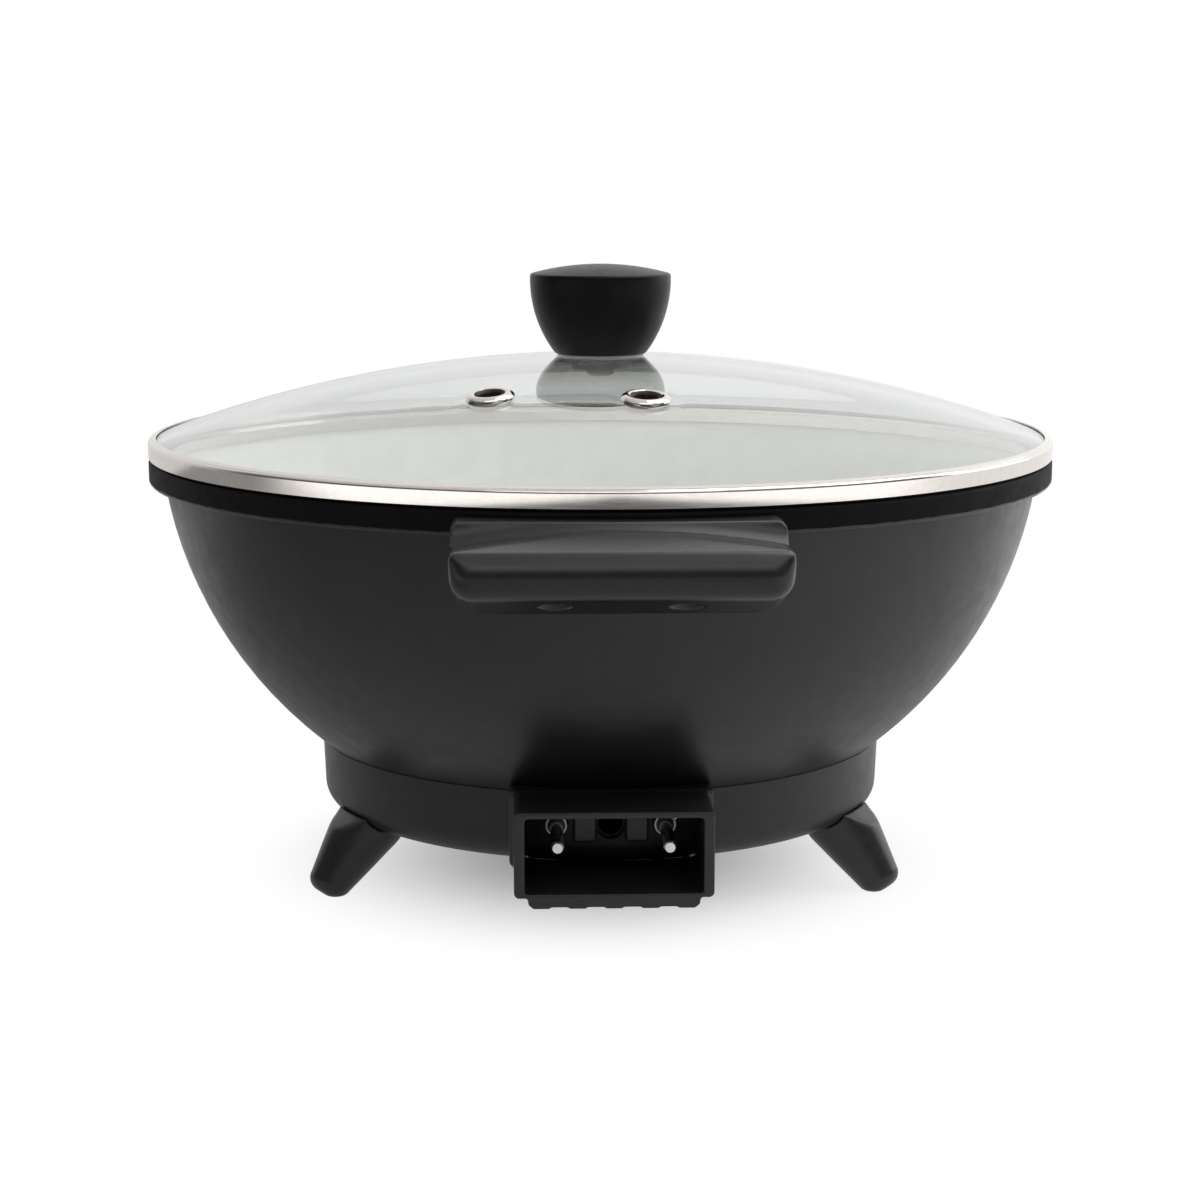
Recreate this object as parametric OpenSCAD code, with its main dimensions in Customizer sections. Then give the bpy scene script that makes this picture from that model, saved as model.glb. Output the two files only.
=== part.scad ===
// Electric skillet: a deep round pan on a heated base, with a loose glass lid.
// The front, with the inlet for a plug-in control, faces -Y. The floor is z = 0
// and the pan's axis is x = y = 0.

/* [Pan] */
// Outside radius of the pan's rim, and of the lid's steel band
rim_r = 160; // [156:0.5:168]
// Height of the rim's upright band
rim_h = 8.4; // [6:0.1:10]
// How far the rim stands out past the bowl
rim_overhang = 5.5; // [4.5:0.1:8]
// Radius on the rim's outer edges
rim_edge = 1.5; // [0.5:0.1:2.5]
// Height of the bowl from the base ring to the underside of the rim
bowl_h = 92.7; // [85:0.1:105]
// Radius of the bowl's bulging side
bowl_arc_r = 146; // [125:1:180]
// Thickness of the bowl's wall
wall_t = 3; // [2.4:0.1:4]
// Thickness of the cooking floor
floor_t = 4.5; // [3:0.1:6]

/* [Base ring] */
// Height of the base ring's underside above the floor
foot_h = 23.3; // [20:0.1:28]
// Height of the base ring
skirt_h = 24.8; // [22.5:0.1:28]
// Radius of the base ring at its top edge
skirt_r = 100.9; // [98:0.5:108]
// How much smaller the base ring is at the bottom
skirt_taper = 0.7; // [0:0.1:2]
// Radius of the base ring's rounded lower edge
skirt_fillet = 7.6; // [5:0.1:9]
// Wall thickness of the base ring
skirt_t = 2.6; // [2.2:0.1:3.2]
// Room from the base ring's underside up to the pan's floor
chamber_h = 19.2; // [18:0.1:20.5]
// Radius of the opening in the base ring's underside
base_hole_r = 72; // [66:0.5:74]
// Radius of the bottom cover
cover_r = 84; // [82.5:0.5:85]
// Thickness of the bottom cover
cover_t = 1; // [0.6:0.1:1.4]
// Number of vent slots in the bottom cover
vent_slots = 12; // [6:1:16]
// Width of a vent slot
vent_slot_w = 3; // [2:0.5:5]
// Length of a vent slot
vent_slot_l = 18; // [10:1:22]
// Radius where the vent slots are centred
vent_slot_r = 44; // [38:1:48]

/* [Feet] */
// Radius where a foot's axis meets the base ring's underside
foot_top_r = 94.2; // [92:0.1:97]
// Radius where a foot's axis meets the floor
foot_floor_r = 111.9; // [104:0.1:118]
// Radius of a foot where its axis meets the base ring's underside
foot_wide_r = 12.5; // [10:0.1:14]
// Radius of a foot near the floor
foot_end_r = 7.5; // [6.5:0.1:9]
// Rounding of a foot's lower end
foot_round = 5; // [2:0.1:6.4]
// Depth of the flat ground on a foot's lower end
foot_flat = 2; // [0.6:0.1:3]
// How far a foot's outer edge reaches up past the base ring's underside
foot_tuck = 4.5; // [2:0.1:6]

/* [Control inlet] */
// Outside width of the inlet's shroud
socket_w = 63.5; // [60:0.5:70]
// Side wall thickness of the shroud
socket_wall = 3.5; // [2.5:0.1:4.5]
// Thickness of the shroud's roof
socket_roof_t = 2.3; // [1.8:0.1:3]
// Thickness of the shroud's floor
socket_floor_t = 1.4; // [1:0.1:2]
// How far the shroud stands out from the base ring
socket_d = 33.2; // [30:0.2:38]
// Height of the shroud's roof above the pins
socket_above = 12.8; // [11:0.1:14]
// Depth of the shroud's mouth below the pins
socket_below = 13.8; // [12.5:0.1:14]
// Radius on the shroud's corners
socket_corner = 1.6; // [0.5:0.1:2.2]
// Width of the bar under the shroud
lip_w = 54.6; // [48:0.2:58]
// Height of the ribs under the bar
rib_h = 0.5; // [0.3:0.1:1.2]
// Width of a rib
rib_w = 5.4; // [3:0.1:7]
// Number of ribs
rib_count = 5; // [3:1:6]
// Distance between the two contact pins
pin_gap = 35.7; // [33:0.1:38]
// Radius of a contact pin
pin_r = 2.1; // [1.8:0.05:2.4]
// How far the pin tips stay behind the shroud's mouth
pin_setback = 4.1; // [3:0.1:8]
// Radius of the bore for the control's temperature probe
probe_r = 4; // [3:0.1:4.3]
// Length of the probe block
probe_l = 42; // [30:0.5:44]

/* [Heater] */
// Radius of the heating tube
tube_r = 3.5; // [3:0.1:3.8]
// Radius of the heating loop
loop_r = 60; // [54:0.5:62]
// Radius of the bends from the loop to its two legs
bend_r = 12; // [9:0.5:15]
// Radius of the plate that spreads the heat
plate_r = 71; // [68:0.5:72]
// Thickness of the plate that spreads the heat
plate_t = 1.2; // [0.8:0.1:1.5]
// Thickness of the spider that holds the heating tube up
clamp_t = 1.5; // [1:0.1:2]
// Width of the spider's arms
clamp_w = 12; // [8:0.5:16]

/* [Lid] */
// How far the edge of the glass lies inside the band's outside
glass_inset = 0.8; // [0.8:0.1:2.4]
// Height of the dome above the edge of the glass
glass_rise = 28.4; // [22:0.2:34]
// Thickness of the glass
glass_t = 3.8; // [3:0.1:4.6]
// Height from the foot of the band to the glass
band_under = 1.6; // [1.2:0.1:4]
// Thickness of the steel band
band_t = 0.5; // [0.4:0.05:0.6]
// Width of the lip that the band folds over the glass
band_lip = 2.8; // [2.2:0.1:6]
// Depth of the bead that keeps the lid centred in the pan
bead_h = 3.6; // [2:0.1:6]
// Room between the bead and the pan's mouth
bead_room = 1.2; // [0.8:0.1:2]
// How far the lid is turned from the front
lid_turn = -9.5; // [-30:0.5:30]
// Angle between the middle and each steam vent
vent_angle = 17.6; // [10:0.2:30]
// Radius where the steam vents sit
vent_r = 85; // [60:0.5:120]
// Radius of the steam vent's hole
vent_hole_r = 4.2; // [3:0.1:5]
// Outside radius of the steam vent's bead
vent_bead_r = 8.2; // [7.4:0.1:10]

/* [Knob] */
// Radius of the knob at its base
knob_base_r = 16; // [13:0.1:18]
// Radius of the knob at its upper edge
knob_edge_r = 25; // [22:0.1:28]
// Height of the knob's side
knob_side_h = 28.3; // [22:0.1:32]
// Radius of the knob's bulging side
knob_arc_r = 43; // [38:0.5:90]
// Rise of the knob's crown above its edge
knob_crown = 3.4; // [2:0.1:7]
// Radius of the knob's screw
knob_screw_r = 2.5; // [2:0.1:3]

/* [Handles] */
// Width of a handle
handle_w = 100; // [90:0.5:110]
// How far a handle stands out from the rim
handle_out = 36; // [32:0.5:42]
// Height of the mounting plate
mount_h = 26.8; // [25:0.2:32]
// How far the mounting plate stands out from the rim
mount_out = 10; // [8:0.2:12]
// How far the plate's top stays under the rim's top
mount_drop = 2; // [0.3:0.1:3]
// Corner radius of the plate's top
mount_corner = 3; // [2:0.2:5]
// Corner radius of the handle's bottom
handle_corner = 9; // [6:0.5:11]
// How far the seam lies under the plate's top at its middle
seam_drop = 2.3; // [1.8:0.1:4]
// How much the seam bows up in the middle
seam_bow = 4.4; // [2:0.1:6]
// Radius of the hollow along the plate's top
cove_r = 9; // [7:0.5:12]
// How far the grip's ridge lies under the plate's top
ridge_drop = 5; // [4:0.1:8]
// Radius of the grip's ridge
ridge_r = 1.8; // [1.5:0.1:4]
// Height of the grip's front face
grip_h = 15; // [13:0.2:16]
// Radius of the grip's lower front edge
grip_r = 7.4; // [6:0.1:8]
// Thickness of the lug inside a handle
lug_t = 5; // [4:0.1:5.6]
// Width of the lug inside a handle
lug_w = 54; // [50:0.5:64]
// Distance between a handle's two screws
handle_screw_gap = 38.8; // [34:0.2:42]

/* [Fits] */
// Gap between pieces that are fastened to each other
seat_gap = 0.2; // [0.1:0.05:0.3]
// Gap between the lid and the pan
lid_gap = 0.3; // [0.2:0.05:0.5]
// Radius of the small screws
screw_r = 2; // [1.6:0.1:2.4]
// Radius of a small screw's head
screw_head_r = 4; // [3.4:0.1:4.6]
// Height of a small screw's head
screw_head_h = 2.2; // [1.6:0.1:2.6]

/* [Hidden] */
$fn = 96;
hull_fn = 32;
crown_fn = 480;
thread_gap = 0.05;
over = 1;

// Heights, stacked up from the floor
crease_z = foot_h + skirt_h;
rim_under_z = crease_z + bowl_h;
rim_z = rim_under_z + rim_h;
floor_z = foot_h + chamber_h;
floor_top_z = floor_z + floor_t;
flange_z = foot_h + skirt_t;

// Centre of the bowl's side arc, from its two ends and its radius
bowl_top_r = rim_r - rim_overhang;
bowl_reach = bowl_top_r - skirt_r;
bowl_chord = norm([bowl_reach, bowl_h]);
bowl_back = sqrt(bowl_arc_r * bowl_arc_r - bowl_chord * bowl_chord / 4);
bowl_c = [
    (bowl_top_r + skirt_r) / 2 - bowl_back * bowl_h / bowl_chord,
    (rim_under_z + crease_z) / 2 + bowl_back * bowl_reach / bowl_chord
];

// Radius of the bowl's side at a height, grown outwards by a margin
function bowl_r_at(z, grow) =
    bowl_c[0] + sqrt(pow(bowl_arc_r + grow, 2) - pow(z - bowl_c[1], 2));

skirt_foot_r = skirt_r - skirt_taper;
mouth_r = bowl_r_at(rim_z, -wall_t);

// Screws that hold the bottom cover and the base ring to the pan
base_screw_r = (base_hole_r + cover_r) / 2;
base_screw_turns = [35, 125, 235, 325];
base_boss_r = 4.8;
base_boss_depth = 10;

// Heater and contact pins
pin_z = floor_z - plate_t - seat_gap - tube_r;
leg_x = pin_gap / 2;
bend_x = leg_x + bend_r;
bend_y = -sqrt(pow(loop_r + bend_r, 2) - pow(bend_x, 2));
bend_turn = asin(bend_x / (loop_r + bend_r));
bend_lap = 1;
bend_thin = 0.15;
tube_wall = 0.6;
tube_proud = 1.4;
tube_room = 0.6;
tube_end_y = -(skirt_r + tube_proud);
bead_r = tube_r - tube_wall;
bead_depth = 4;
bead_proud = 0.6;
bead_face_y = tube_end_y - bead_proud;
pin_step = 0.6;
pin_ease = 0.5;
pin_stub_r = pin_r - pin_step;
clamp_top_z = pin_z - tube_r - seat_gap;
clamp_past = 2.5;
clamp_reach = loop_r + tube_r + clamp_past;
clamp_hub_r = 13;
clamp_boss_r = 7;
clamp_turns = [60, 180, 300];

// Probe block
probe_side_wall = 2.5;
probe_wall = 1.5;
probe_w = 2 * (probe_r + probe_side_wall);
probe_h = 2 * (probe_r + probe_wall);
probe_z = floor_z - probe_h / 2;
probe_room = 0.7;
probe_end_y = -(skirt_foot_r - skirt_t - over);

// Control inlet
socket_y = -(skirt_r + socket_d);
socket_roof_z = pin_z + socket_above;
socket_mouth_z = pin_z - socket_below;
socket_base_z = socket_mouth_z - socket_floor_t;
lip_drop = 4.3;
lip_z = foot_h - lip_drop;
tongue_room = 1.5;
tongue_y = -(cover_r + tongue_room);
pin_tip_y = socket_y + pin_setback;
post_w = 7.3;
post_x = 8.6;
post_t = 3.4;
post_below = 5.4;
post_foot_z = pin_z - post_below;
collar_w = 1.5;
collar_d = 7;
collar_rise = 0.5;
collar_lift = 2;
socket_screw_x = 16;
socket_screw_y = -(cover_r + skirt_foot_r - skirt_fillet) / 2;

// Feet
foot_splay = atan((foot_floor_r - foot_top_r) / foot_h);
foot_turns = [-62, 62, 180];
foot_l = foot_round + (foot_h + foot_flat - foot_round
    - (foot_end_r - foot_round) * sin(foot_splay)) / cos(foot_splay);
foot_head = 12;
foot_steps = 6;
foot_top_slope = 30;
foot_boss_r = 6;
foot_boss_h = 6;
foot_screw_depth = 14;

// Lid
band_z = rim_z + lid_gap;
glass_r = rim_r - glass_inset;
glass_out_r = (glass_r * glass_r + glass_rise * glass_rise) / (2 * glass_rise);
glass_in_r = glass_out_r - glass_t;
glass_edge_z = band_z + band_under + glass_t;
apex_z = glass_edge_z + glass_rise;
dome_z = apex_z - glass_out_r;
band_out_r = glass_out_r + seat_gap + band_t;
band_round = 1.2;
band_foot = 0.5;
band_turn_z = dome_z + sqrt(pow(band_out_r - band_round, 2) - pow(rim_r - band_round, 2));
band_lip_r = rim_r - band_lip;
bead_out_r = mouth_r - bead_room;
vent_tilt = asin(vent_r / glass_out_r);
eyelet_t = 0.8;
vent_sleeve_r = vent_hole_r + eyelet_t;
vent_flange_r = vent_bead_r - 1;

// Knob
gasket_t = 0.4;
gasket_inset = 0.6;
insert_wall = 1.6;
gasket_neck_r = knob_screw_r + insert_wall;
knob_hole_r = gasket_neck_r + seat_gap;
knob_z = apex_z + gasket_t;
knob_edge_z = knob_z + knob_side_h;
knob_reach = knob_edge_r - knob_base_r;
knob_chord = norm([knob_reach, knob_side_h]);
knob_back = sqrt(knob_arc_r * knob_arc_r - knob_chord * knob_chord / 4);
knob_c = [
    (knob_edge_r + knob_base_r) / 2 - knob_back * knob_side_h / knob_chord,
    (knob_edge_z + knob_z) / 2 + knob_back * knob_reach / knob_chord
];
knob_top_r = (knob_edge_r * knob_edge_r + knob_crown * knob_crown) / (2 * knob_crown);
insert_r = knob_screw_r + insert_wall;
insert_l = 13;
washer_t = 1.2;
washer_r = 10;
low_gasket_t = 1.2;
low_gasket_r = 11;
under_z = apex_z - glass_t;
low_gasket_sink = low_gasket_r * low_gasket_r / (2 * glass_in_r) + thread_gap;
washer_z = under_z - low_gasket_sink - low_gasket_t - washer_t;
knob_head_h = 2.6;

// Handles
handle_top_z = rim_z - mount_drop;
mount_y = -(rim_r + mount_out);
grip_front_y = -(rim_r + handle_out);
seam_z = handle_top_z - seam_drop;
seam_r = (pow(handle_w / 2, 2) + seam_bow * seam_bow) / (2 * seam_bow);
seam_c_z = seam_z - seam_r;
cove_half = cove_r / 2;
cove_rise = sqrt(cove_r * cove_r - cove_half * cove_half);
ridge_z = handle_top_z - ridge_drop;
ridge_back = 3.2;
ridge_y = grip_front_y + ridge_r + ridge_back;
grip_foot_z = ridge_z - grip_h;
mount_foot_z = handle_top_z - mount_h;
lug_cover = 4.8;
lug_z = ridge_z - lug_cover - lug_t;
handle_screw_in = 14;
handle_screw_y = grip_front_y + handle_screw_in;
lug_past = 5;
lug_tip_y = handle_screw_y - lug_past;
screw_pocket_r = screw_head_r + 1;
screw_seat_t = 3.4;
screw_pocket_z = lug_z - screw_seat_t;

// Pan

// Section of the bowl's side, grown by a margin
module bowl_side(grow) {
    translate(bowl_c) circle(bowl_arc_r + grow);
}

module rim_section() {
    inner = bowl_top_r - wall_t;
    translate([inner, rim_under_z]) square([rim_r - rim_edge - inner, rim_h]);
    translate([inner, rim_under_z + rim_edge]) square([rim_r - inner, rim_h - 2 * rim_edge]);
    for (z = [rim_under_z + rim_edge, rim_z - rim_edge])
        translate([rim_r - rim_edge, z]) circle(rim_edge);
}

module pan_section() {
    intersection() {
        bowl_side(0);
        translate([0, floor_z]) square([rim_r, rim_z - floor_z]);
    }
    rim_section();
}

module pan_hollow_section() {
    intersection() {
        bowl_side(-wall_t);
        translate([0, floor_top_z]) square([rim_r, rim_z - floor_top_z + over]);
    }
}

// Space that the outside of the pan takes, with the gap that fitted pieces keep from it
module pan_keepout() {
    rotate_extrude() {
        intersection() {
            bowl_side(seat_gap);
            translate([0, floor_z]) square([rim_r, rim_z - floor_z + over]);
        }
        translate([0, rim_under_z - seat_gap]) square([rim_r + seat_gap, rim_h + seat_gap + over]);
    }
}

module handle_lug() {
    root_y = -(bowl_top_r - 2 * rim_overhang);
    difference() {
        translate([-lug_w / 2, lug_tip_y, lug_z]) cube([lug_w, root_y - lug_tip_y, lug_t]);
        for (x = [-1, 1] * handle_screw_gap / 2) translate([x, handle_screw_y, lug_z - over])
            cylinder(r = screw_r + thread_gap, h = lug_t + 2 * over);
    }
}

module at_base_screws() {
    for (turn = base_screw_turns) rotate(turn) translate([0, -base_screw_r, 0]) children();
}

module pan() {
    color("DimGray") difference() {
        union() {
            rotate_extrude() pan_section();
            for (turn = [0, 180]) rotate(turn) handle_lug();
            translate([0, 0, clamp_top_z]) cylinder(r = clamp_boss_r, h = floor_z - clamp_top_z + over);
            at_base_screws() translate([0, 0, flange_z])
                cylinder(r = base_boss_r, h = floor_z - flange_z + over);
        }
        rotate_extrude() pan_hollow_section();
        at_base_screws() translate([0, 0, flange_z - over])
            cylinder(r = screw_r + thread_gap, h = base_boss_depth + over);
        translate([0, 0, clamp_top_z - over])
            cylinder(r = screw_r + thread_gap, h = floor_z - clamp_top_z);
    }
}

// Base ring, its cover and its screws

// Section of the base ring's outside, drawn in by a margin
module skirt_form(inset) {
    foot_r = skirt_foot_r - inset;
    bottom = foot_h + inset;
    turn_z = foot_h + skirt_fillet;
    turn_r = skirt_foot_r - skirt_fillet;
    translate([0, bottom]) square([turn_r, crease_z - bottom]);
    polygon([[0, turn_z], [foot_r, turn_z], [skirt_r - inset, crease_z], [0, crease_z]]);
    translate([turn_r, turn_z]) circle(skirt_fillet - inset);
}

module skirt_section() {
    difference() {
        skirt_form(0);
        skirt_form(skirt_t);
        bowl_side(seat_gap);
        translate([0, foot_h - over]) square([base_hole_r, skirt_t + 2 * over]);
        translate([0, foot_h - over]) square([cover_r + seat_gap, cover_t + over]);
    }
}

module along_y(x, y, z, r, l) {
    translate([x, y, z]) rotate([90, 0, 0]) cylinder(r = r, h = l);
}

// Places a foot's own axis: z runs up along the foot, from the base ring's underside
module at_foot(turn) {
    rotate(turn) translate([0, -foot_top_r, foot_h]) rotate([-foot_splay, 0, 0]) children();
}

module base_skirt() {
    wall_y = -(skirt_foot_r - skirt_t - skirt_fillet);
    bore_l = skirt_t + 2 * skirt_fillet;
    color("DimGray") difference() {
        union() {
            rotate_extrude() skirt_section();
            intersection() {
                for (turn = foot_turns) at_foot(turn) translate([0, 0, -foot_head])
                    cylinder(r = foot_boss_r, h = foot_boss_h + foot_head);
                rotate_extrude() difference() {
                    skirt_form(skirt_t / 2);
                    square([cover_r + seat_gap, foot_h + cover_t]);
                }
            }
        }
        for (turn = foot_turns) at_foot(turn) {
            translate([0, 0, -foot_head]) cylinder(r = screw_r + seat_gap, h = foot_head + foot_boss_h + over);
            translate([0, 0, foot_boss_h]) cylinder(r = screw_head_r + seat_gap, h = screw_head_h + seat_gap);
        }
        at_base_screws() translate([0, 0, foot_h]) cylinder(r = screw_r + seat_gap, h = skirt_t + over);
        for (x = [-1, 1] * leg_x) along_y(x, wall_y, pin_z, tube_r + tube_room, bore_l);
        along_y(0, wall_y, probe_z, probe_r + probe_room, bore_l);
        for (x = [-1, 1] * socket_screw_x) translate([x, socket_screw_y, foot_h - over])
            cylinder(r = screw_r + thread_gap, h = skirt_t + 2 * over);
    }
}

module vent_slot() {
    half = (vent_slot_l - vent_slot_w) / 2;
    translate([-vent_slot_w / 2, -half, 0]) cube([vent_slot_w, 2 * half, cover_t + 2 * over]);
    for (y = [-half, half]) translate([0, y, 0]) cylinder(r = vent_slot_w / 2, h = cover_t + 2 * over);
}

module bottom_cover() {
    color("Silver") difference() {
        translate([0, 0, foot_h]) cylinder(r = cover_r, h = cover_t);
        at_base_screws() translate([0, 0, foot_h - over])
            cylinder(r = screw_r + seat_gap, h = cover_t + 2 * over);
        for (i = [0 : vent_slots - 1])
            rotate(i * 360 / vent_slots) translate([0, -vent_slot_r, foot_h - over]) vent_slot();
    }
}

// A small screw: its head hangs below z = 0 and its shank runs up
module screw(shank) {
    translate([0, 0, -screw_head_h]) cylinder(r = screw_head_r, h = screw_head_h);
    translate([0, 0, -screw_head_h / 2]) cylinder(r = screw_r, h = shank + screw_head_h / 2);
}

module base_screws() {
    color("Silver") at_base_screws() translate([0, 0, foot_h]) screw(skirt_t + base_boss_depth - over);
}

// Heater

module heat_plate() {
    cut_h = plate_t + 2 * over;
    notch_w = probe_w + 2 * seat_gap;
    notch_y = probe_end_y + probe_l + seat_gap;
    color("Gainsboro") difference() {
        translate([0, 0, floor_z - plate_t]) cylinder(r = plate_r, h = plate_t);
        translate([0, 0, floor_z - plate_t - over]) {
            cylinder(r = clamp_boss_r + seat_gap, h = cut_h);
            translate([-notch_w / 2, -plate_r - over, 0]) cube([notch_w, plate_r + over + notch_y, cut_h]);
        }
    }
}

// One bend and leg of the heating tube, on the +X side. The bend is drawn down a little where
// the tube was bent, and runs a short way into the loop and into the leg
module tube_leg() {
    lap = bend_lap * 180 / (PI * bend_r);
    translate([bend_x, bend_y, 0]) rotate(90 + bend_turn - lap)
        rotate_extrude(angle = 90 - bend_turn + 2 * lap) translate([bend_r, 0]) circle(tube_r - bend_thin);
    along_y(leg_x, bend_y, 0, tube_r, bend_y - tube_end_y);
}

module heating_element() {
    color("DarkGray") translate([0, 0, pin_z]) difference() {
        union() {
            rotate(bend_turn - 90) rotate_extrude(angle = 360 - 2 * bend_turn)
                translate([loop_r, 0]) circle(tube_r);
            tube_leg();
            mirror([1, 0, 0]) tube_leg();
        }
        for (x = [-1, 1] * leg_x)
            along_y(x, tube_end_y + bead_depth, 0, bead_r + thread_gap, bead_depth + over);
    }
}

module element_clamp() {
    color("Silver") translate([0, 0, clamp_top_z - clamp_t]) difference() {
        union() {
            cylinder(r = clamp_hub_r, h = clamp_t);
            for (turn = clamp_turns) rotate(turn) {
                translate([-clamp_w / 2, -clamp_reach, 0]) cube([clamp_w, clamp_reach, clamp_t]);
                translate([0, -clamp_reach, 0]) cylinder(r = clamp_w / 2, h = clamp_t);
            }
        }
        translate([0, 0, -over]) cylinder(r = screw_r + seat_gap, h = clamp_t + 2 * over);
    }
}

module clamp_screw() {
    color("Silver") translate([0, 0, clamp_top_z - clamp_t])
        screw(clamp_t + floor_z - clamp_top_z - 2 * over);
}

module terminal_beads() {
    back_y = tube_end_y + bead_depth - thread_gap;
    color("Ivory") for (x = [-1, 1] * leg_x) difference() {
        along_y(x, back_y, pin_z, bead_r, back_y - bead_face_y);
        along_y(x, back_y + over, pin_z, pin_stub_r + thread_gap, back_y - bead_face_y + 2 * over);
    }
}

// A contact pin with an eased tip, on a thinner stub that sits in its bead
module terminal_pin(x) {
    ease_y = pin_tip_y + pin_ease;
    color("Gainsboro") {
        along_y(x, bead_face_y + bead_depth, pin_z, pin_stub_r, bead_depth + over);
        along_y(x, bead_face_y, pin_z, pin_r, bead_face_y - ease_y);
        translate([x, ease_y, pin_z]) rotate([90, 0, 0])
            cylinder(r1 = pin_r, r2 = pin_r - pin_ease, h = pin_ease);
    }
}

module terminal_pin_left() {
    terminal_pin(-leg_x);
}

module terminal_pin_right() {
    terminal_pin(leg_x);
}

module probe_block() {
    color("Gainsboro") difference() {
        translate([-probe_w / 2, probe_end_y, floor_z - probe_h]) cube([probe_w, probe_l, probe_h]);
        along_y(0, probe_end_y + probe_l + over, probe_z, probe_r, probe_l + 2 * over);
    }
}

// Control inlet

// Front outline of a box with rounded corners, from one height to another
module soft_box(w, low, high, corner) {
    half = w / 2 - corner;
    translate([-w / 2, low + corner]) square([w, high - low - 2 * corner]);
    translate([-half, low]) square([2 * half, high - low]);
    for (x = [-half, half], z = [low + corner, high - corner]) translate([x, z]) circle(corner);
}

module socket_body() {
    collar_y = -(skirt_r + collar_d);
    collar_z = foot_h + collar_lift;
    back_y = -(skirt_foot_r - skirt_fillet);
    bar_z = lip_z + rib_h;
    bar_d = tongue_y - socket_y;
    rib_row = lip_w - 2 * socket_floor_t;
    rib_pitch = (rib_row - rib_w) / (rib_count - 1);
    upright(socket_y, back_y - socket_y)
        soft_box(socket_w, socket_base_z, socket_roof_z, socket_corner);
    upright(collar_y, back_y - collar_y)
        soft_box(socket_w + 2 * collar_w, collar_z, socket_roof_z + collar_rise, socket_corner);
    upright(socket_y, bar_d) soft_box(lip_w, bar_z, socket_mouth_z, socket_floor_t);
    for (i = [0 : rib_count - 1])
        translate([-rib_row / 2 + i * rib_pitch, socket_y, lip_z]) cube([rib_w, bar_d, 2 * rib_h]);
}

module socket_cavity() {
    inner_w = socket_w - 2 * socket_wall;
    translate([-inner_w / 2, socket_y - over, socket_mouth_z])
        cube([inner_w, socket_d + skirt_fillet + over, socket_roof_z - socket_roof_t - socket_mouth_z]);
}

module socket_posts() {
    for (x = [-1, 1] * post_x)
        translate([x - post_w / 2, -(skirt_r + post_t), post_foot_z])
            cube([post_w, post_t + skirt_fillet, socket_roof_z - post_foot_z - over]);
}

module socket_shroud() {
    color("#161616") difference() {
        union() {
            difference() {
                socket_body();
                socket_cavity();
            }
            socket_posts();
        }
        rotate_extrude() skirt_form(-seat_gap);
        pan_keepout();
        for (x = [-1, 1] * socket_screw_x) translate([x, socket_screw_y, lip_z - over]) {
            cylinder(r = screw_head_r + seat_gap, h = over + screw_head_h + rib_h);
            cylinder(r = screw_r + seat_gap, h = foot_h);
        }
    }
}

module socket_screws() {
    head_z = lip_z + rib_h + screw_head_h;
    color("Silver") for (x = [-1, 1] * socket_screw_x)
        translate([x, socket_screw_y, head_z]) screw(flange_z - head_z);
}

// Handles

// Outline of a handle seen from the front, up to a height, with rounded corners
module handle_face(top, top_corner) {
    half = handle_w / 2;
    low = mount_foot_z + handle_corner;
    translate([-half, low]) square([handle_w, top - top_corner - low]);
    translate([handle_corner - half, mount_foot_z]) square([handle_w - 2 * handle_corner, 2 * handle_corner]);
    translate([top_corner - half, low]) square([handle_w - 2 * top_corner, top - low]);
    for (x = [-1, 1] * (half - handle_corner)) translate([x, low]) circle(handle_corner);
    for (x = [-1, 1] * (half - top_corner)) translate([x, top - top_corner]) circle(top_corner);
}

// Outline of the grip where it meets the plate: the same, under the bowed seam
module grip_face() {
    intersection() {
        handle_face(handle_top_z, mount_corner);
        translate([0, seam_c_z]) circle(seam_r, $fn = crown_fn);
    }
}

// Stands a front outline up at a place along Y, with a depth towards the pan
module upright(y, depth) {
    translate([0, y + depth, 0]) rotate([90, 0, 0]) linear_extrude(depth) children();
}

module lug_slot() {
    translate([-lug_w / 2 - seat_gap, lug_tip_y - seat_gap, lug_z - seat_gap])
        cube([lug_w + 2 * seat_gap, -lug_tip_y, lug_t + 2 * seat_gap]);
}

// The mounting plate: hugs the rim and the bowl, with a hollow along its top that follows the seam
module handle_mount() {
    color("#222222") difference() {
        upright(mount_y, mount_out + handle_w / 4) handle_face(handle_top_z, mount_corner);
        pan_keepout();
        lug_slot();
        translate([0, mount_y - cove_half, seam_c_z]) rotate([90, 0, 0])
            rotate_extrude() translate([seam_r + cove_rise, 0]) circle(cove_r);
    }
}

// The grip: a solid moulding that swells from the bowed seam to a straight rounded front
module handle_grip() {
    ridge_x = handle_w / 2 - ridge_r;
    foot_x = handle_w / 2 - grip_r;
    color("#2a2a2a") difference() {
        hull() {
            upright(mount_y - over / 2, over / 2) grip_face();
            for (x = [-1, 1]) {
                translate([x * ridge_x, ridge_y, ridge_z - ridge_r]) sphere(ridge_r, $fn = hull_fn);
                translate([x * foot_x, grip_front_y + grip_r, grip_foot_z + grip_r])
                    sphere(grip_r, $fn = hull_fn);
            }
        }
        lug_slot();
        for (x = [-1, 1] * handle_screw_gap / 2) translate([x, handle_screw_y, 0]) {
            cylinder(r = screw_pocket_r, h = screw_pocket_z);
            cylinder(r = screw_r + seat_gap, h = lug_z);
        }
    }
}

module handle_screws() {
    color("Silver") for (x = [-1, 1] * handle_screw_gap / 2)
        translate([x, handle_screw_y, screw_pocket_z]) screw(lug_z + lug_t - screw_pocket_z);
}

// Feet

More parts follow.
